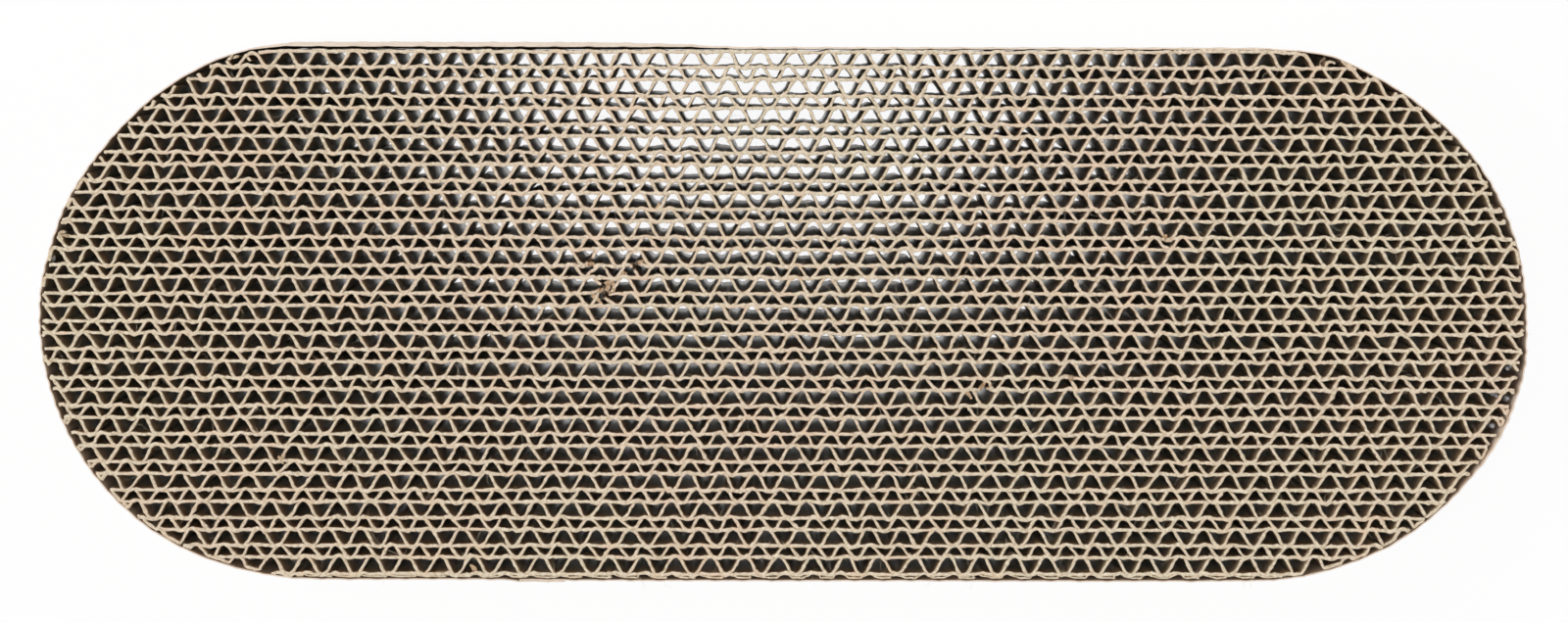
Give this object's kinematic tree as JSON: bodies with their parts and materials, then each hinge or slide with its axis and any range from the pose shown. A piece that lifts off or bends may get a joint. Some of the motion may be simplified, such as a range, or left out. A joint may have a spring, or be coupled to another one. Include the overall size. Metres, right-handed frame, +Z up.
{
  "type": "cat scratcher pad",
  "caption": "Capsule-shaped cat scratching pad of fluted board strips set on edge, with open flute ends on both broad faces and a paper band round the side.",
  "frame": {"origin": "middle of the underside", "axes": "+X along the strips, +Y across them towards the back, +Z up the flutes"},
  "size_m": [0.343, 0.1236, 0.045],
  "materials": {
    "liner_paper": "matte",
    "medium_paper": "matte",
    "wrap_paper": "matte"
  },
  "bodies": {
    "root": {"side_wrap": "wrap_paper", "strip_01_large_flute": "medium_paper", "strip_01_liners": "liner_paper", "strip_01_small_flute": "medium_paper", "strip_02_large_flute": "medium_paper", "strip_02_liners": "liner_paper", "strip_02_small_flute": "medium_paper", "strip_03_large_flute": "medium_paper", "strip_03_liners": "liner_paper", "strip_03_small_flute": "medium_paper", "strip_04_large_flute": "medium_paper", "strip_04_liners": "liner_paper", "strip_04_small_flute": "medium_paper", "strip_05_large_flute": "medium_paper", "strip_05_liners": "liner_paper", "strip_05_small_flute": "medium_paper", "strip_06_large_flute": "medium_paper", "strip_06_liners": "liner_paper", "strip_06_small_flute": "medium_paper", "strip_07_large_flute": "medium_paper", "strip_07_liners": "liner_paper", "strip_07_small_flute": "medium_paper", "strip_08_large_flute": "medium_paper", "strip_08_liners": "liner_paper", "strip_08_small_flute": "medium_paper", "strip_09_large_flute": "medium_paper", "strip_09_liners": "liner_paper", "strip_09_small_flute": "medium_paper", "strip_10_large_flute": "medium_paper", "strip_10_liners": "liner_paper", "strip_10_small_flute": "medium_paper", "strip_11_large_flute": "medium_paper", "strip_11_liners": "liner_paper", "strip_11_small_flute": "medium_paper", "strip_12_large_flute": "medium_paper", "strip_12_liners": "liner_paper", "strip_12_small_flute": "medium_paper", "strip_13_large_flute": "medium_paper", "strip_13_liners": "liner_paper", "strip_13_small_flute": "medium_paper", "strip_14_large_flute": "medium_paper", "strip_14_liners": "liner_paper", "strip_14_small_flute": "medium_paper", "strip_15_large_flute": "medium_paper", "strip_15_liners": "liner_paper", "strip_15_small_flute": "medium_paper", "strip_16_large_flute": "medium_paper", "strip_16_liners": "liner_paper", "strip_16_small_flute": "medium_paper", "strip_17_large_flute": "medium_paper", "strip_17_liners": "liner_paper", "strip_17_small_flute": "medium_paper", "strip_18_large_flute": "medium_paper", "strip_18_liners": "liner_paper", "strip_18_small_flute": "medium_paper", "strip_19_large_flute": "medium_paper", "strip_19_liners": "liner_paper", "strip_19_small_flute": "medium_paper"}
  },
  "joints": []
}
